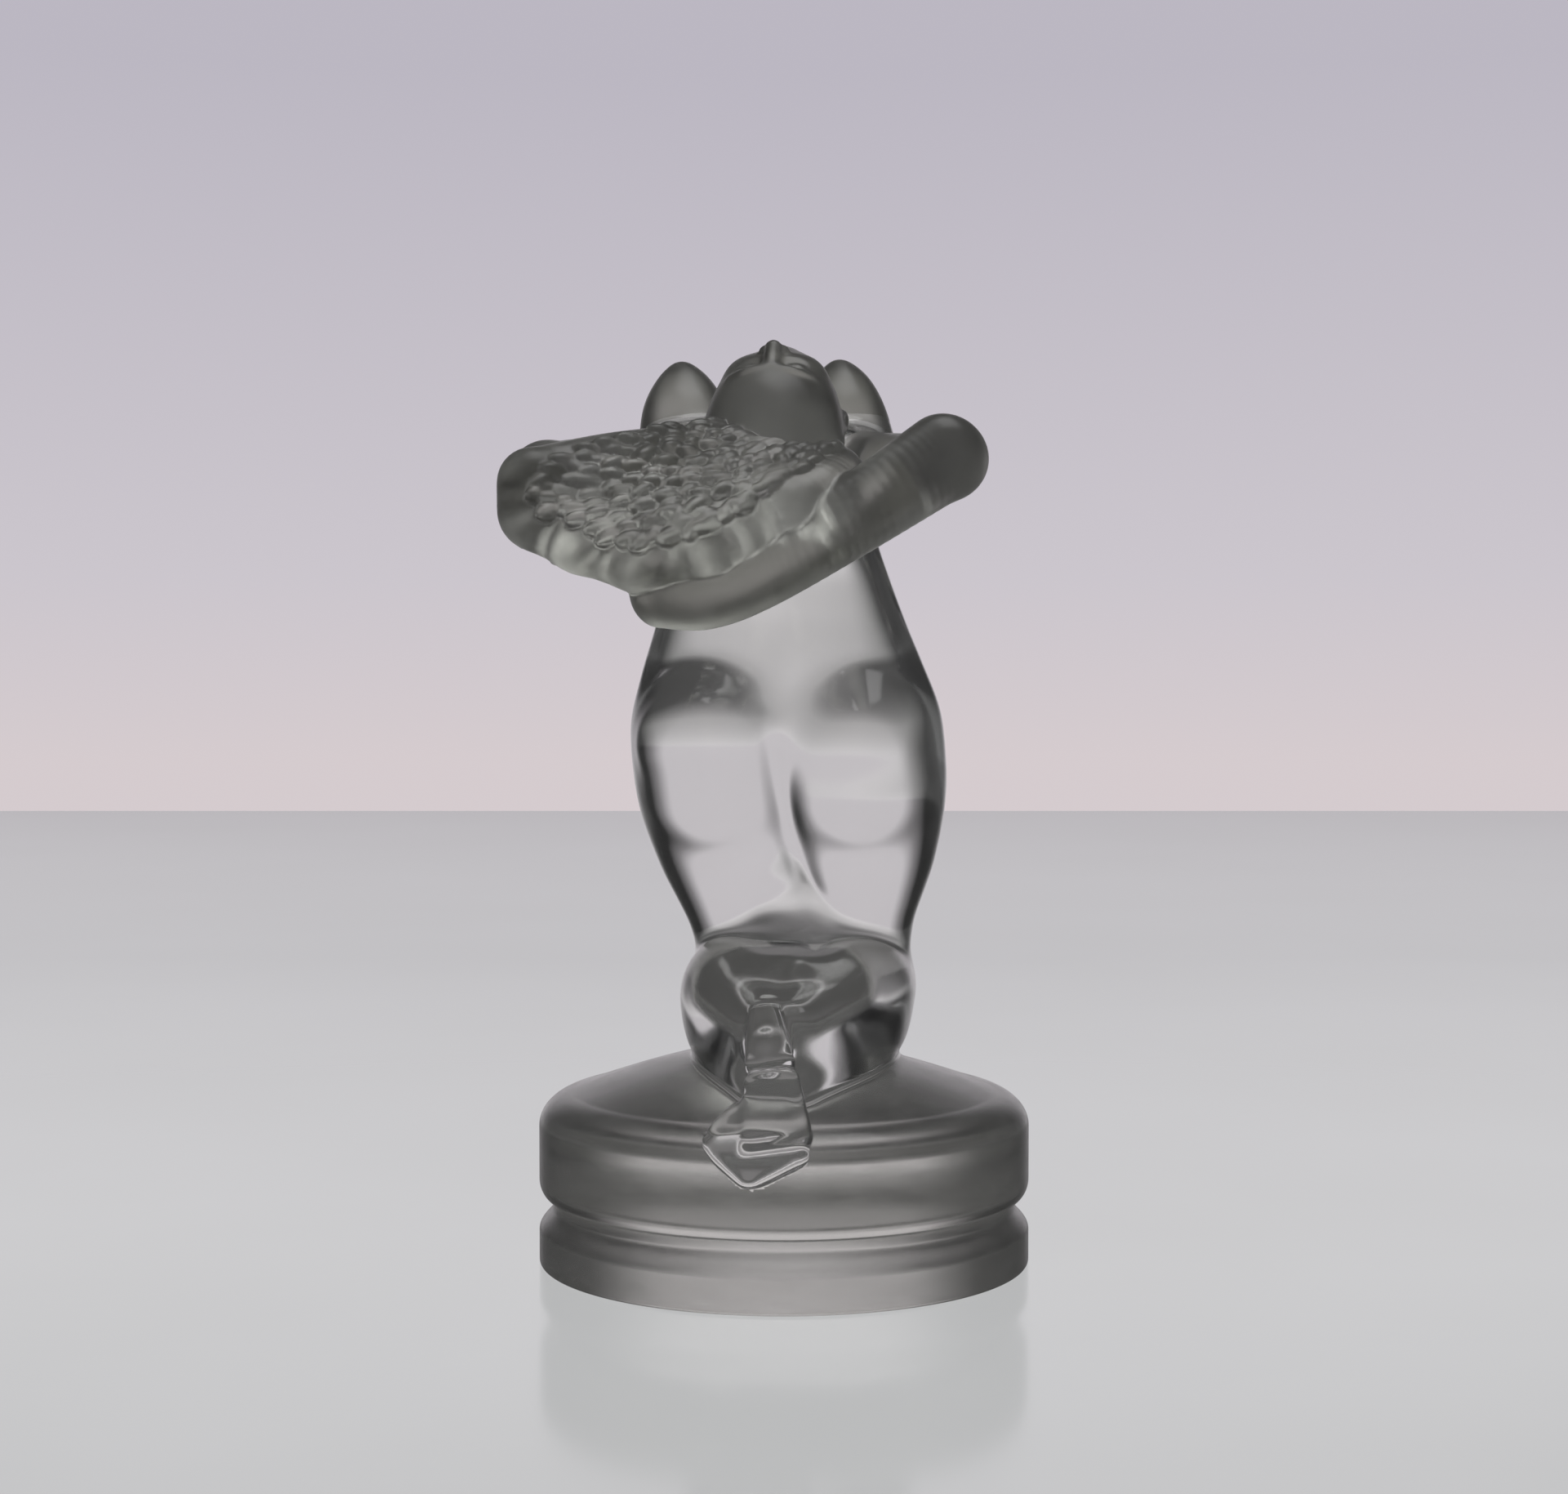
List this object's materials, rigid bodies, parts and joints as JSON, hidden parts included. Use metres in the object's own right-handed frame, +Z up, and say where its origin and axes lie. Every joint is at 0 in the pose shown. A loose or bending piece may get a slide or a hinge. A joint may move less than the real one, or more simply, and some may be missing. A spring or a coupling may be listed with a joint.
{
  "type": "hood ornament",
  "caption": "Moulded glass hood ornament: a kneeling figure thrown back, arms raised, hair streaming behind, on a round grooved base; clear torso and legs, satin hair, arms and base.",
  "frame": {"origin": "centre of the base's flat underside", "axes": "+Z up; +Y the way the figure faces, the direction of travel; +X to the figure's right hand"},
  "size_m": [0.069, 0.0843, 0.1281],
  "materials": {
    "clear_glass": "polished, fire-clear, colourless to faintly grey",
    "satin_glass": "satin, acid-frosted, smoky grey",
    "satin_base": "satin, frosted and translucent, darker towards the sides"
  },
  "bodies": {
    "root": {"base_ring": "satin_base", "base_neck": "satin_base", "base_drum": "satin_base", "base_dome": "satin_base", "pelvis": "clear_glass", "abdomen": "clear_glass", "chest": "clear_glass", "right_breast": "satin_glass", "left_breast": "satin_glass", "right_thigh": "clear_glass", "left_thigh": "clear_glass", "right_lower_leg": "clear_glass", "left_lower_leg": "clear_glass", "right_foot": "satin_base", "left_foot": "satin_base", "neck": "satin_glass", "head": "satin_glass", "right_upper_arm": "satin_glass", "left_upper_arm": "satin_glass", "right_forearm": "satin_glass", "left_forearm": "satin_glass", "right_hand": "satin_glass", "left_hand": "satin_glass", "hair_lock_1": "satin_glass", "hair_lock_2": "satin_glass", "hair_lock_3": "satin_glass", "hair_lock_4": "satin_glass", "hair_lock_5": "satin_glass", "hair_lock_6": "satin_glass"}
  },
  "joints": []
}
